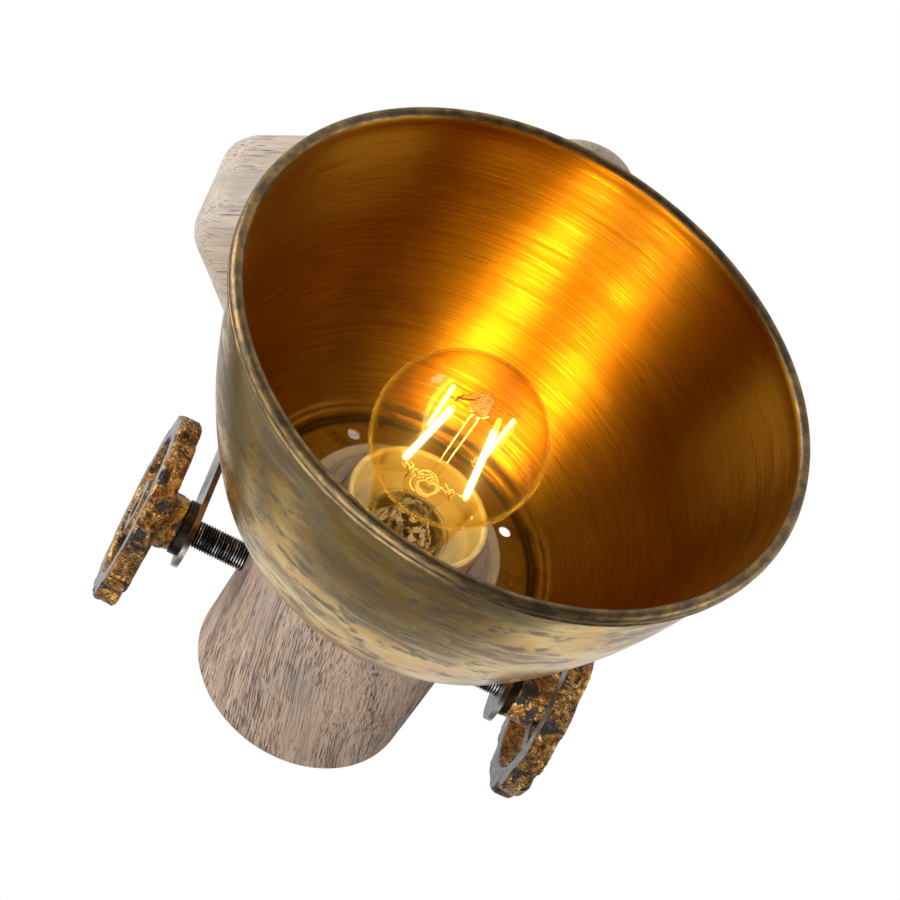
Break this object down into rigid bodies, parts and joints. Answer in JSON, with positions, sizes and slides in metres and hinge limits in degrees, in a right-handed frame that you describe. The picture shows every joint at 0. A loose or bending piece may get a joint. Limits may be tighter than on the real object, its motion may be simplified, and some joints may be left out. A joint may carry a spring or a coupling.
{
  "type": "spotlight",
  "caption": "Surface spotlight: square wooden base, swivelling steel yoke, and a wooden cup with a spun brass shade and bare bulb, clamped at its tilt by cast handwheels.",
  "frame": {"origin": "centre of the base block's mounting face, in the plane that meets the ceiling, on the yoke's swivel axis", "axes": "+Z into the ceiling along the swivel axis; +X along the block's grain and the strap's slots; +Y across the grain. The lamp hangs below z = 0, stored with its yoke turned 38 degrees and its shade 6.5 degrees above level, as pictured."},
  "size_m": [0.2586, 0.2605, 0.2426],
  "materials": {
    "block_wood": "pale washed wood, open grain, matt",
    "cup_wood": "grey-brown washed wood with dark pores, matt",
    "shade_brass": "antique brass with dark patina streaks, satin",
    "cast_wheel": "rough casting, gilded, black patina in the hollows",
    "yoke_steel": "satin grey faces, bronzed edges",
    "dark_steel": "dark, semi-matt",
    "rod_steel": "dark steel, bright thread crests",
    "zinc_steel": "zinc plated",
    "holder_white": "off-white, satin",
    "contact_brass": "bright brass",
    "bush_black": "black, matt",
    "terminal_white": "white, matt",
    "bulb_glass": "clear",
    "bulb_cap": "bright",
    "bulb_black": "black glassy insulator",
    "light_strip": "warm glowing coating",
    "wire_nickel": "bright wire"
  },
  "bodies": {
    "base": {"base_block": "block_wood", "mounting_strap": "zinc_steel", "block_screws": "dark_steel", "terminal_block": "terminal_white", "terminal_screws": "contact_brass", "swivel_stud": "zinc_steel", "stud_washer_top": "zinc_steel", "stud_nut_top": "zinc_steel", "stud_washer_bottom": "dark_steel", "stud_nut_bottom": "dark_steel", "stud_bush": "bush_black"},
    "yoke": {"yoke_bracket": "yoke_steel"},
    "head": {"wood_cup": "cup_wood", "shade": "shade_brass", "lampholder_body": "holder_white", "holder_ring": "holder_white", "holder_screws": "zinc_steel", "thread_shell": "contact_brass", "centre_contact": "contact_brass", "contact_screws": "contact_brass", "threaded_rod": "rod_steel", "cup_lead_gland": "bush_black", "cup_gland_nut": "zinc_steel"},
    "clamp_left": {"clamp_washer_left": "dark_steel"},
    "wheel_left": {"handwheel_left": "cast_wheel"},
    "clamp_right": {"clamp_washer_right": "dark_steel"},
    "wheel_right": {"handwheel_right": "cast_wheel"},
    "bulb_contact": {"bulb_tip": "contact_brass"},
    "bulb": {"bulb_insulator": "bulb_black", "bulb_cap": "bulb_cap", "bulb_glass": "bulb_glass", "bulb_stem": "bulb_glass", "filaments": "light_strip", "lead_wires": "wire_nickel"}
  },
  "joints": [
    {"name": "yoke_swivel", "type": "hinge", "parent": "base", "child": "yoke", "pos_m": [0, 0, -0.049], "axis": [0, 0, 1], "range_deg": [-170, 170]},
    {"name": "head_tilt", "type": "hinge", "parent": "yoke", "child": "head", "pos_m": [0, 0, -0.158], "axis": [0.788, 0.6157, 0], "range_deg": [-3, 196]},
    {"name": "clamp_left_travel", "type": "slide", "parent": "head", "child": "clamp_left", "axis": [-0.788, -0.6157, 0], "range_m": [0, 0.003]},
    {"name": "wheel_left_turn", "type": "hinge", "parent": "clamp_left", "child": "wheel_left", "pos_m": [-0.05823, -0.0455, -0.158], "axis": [-0.788, -0.6157, 0], "range_deg": [0, 1085]},
    {"name": "clamp_right_travel", "type": "slide", "parent": "head", "child": "clamp_right", "axis": [0.788, 0.6157, 0], "range_m": [0, 0.003]},
    {"name": "wheel_right_turn", "type": "hinge", "parent": "clamp_right", "child": "wheel_right", "pos_m": [0.05823, 0.0455, -0.158], "axis": [0.788, 0.6157, 0], "range_deg": [0, 1085]},
    {"name": "bulb_travel", "type": "slide", "parent": "head", "child": "bulb_contact", "axis": [0.6117, -0.7829, 0.1132], "range_m": [0, 0.01089]},
    {"name": "bulb_turn", "type": "hinge", "parent": "bulb_contact", "child": "bulb", "pos_m": [0.03059, -0.03915, -0.15234], "axis": [0.6117, -0.7829, 0.1132], "range_deg": [0, 1085]}
  ],
  "couplings": [
    {"joint": "wheel_left_turn", "follows": "clamp_left_travel", "rad_per_m": 6283.2},
    {"joint": "wheel_right_turn", "follows": "clamp_right_travel", "rad_per_m": 6283.2},
    {"joint": "bulb_turn", "follows": "bulb_travel", "rad_per_m": 1731.4}
  ]
}
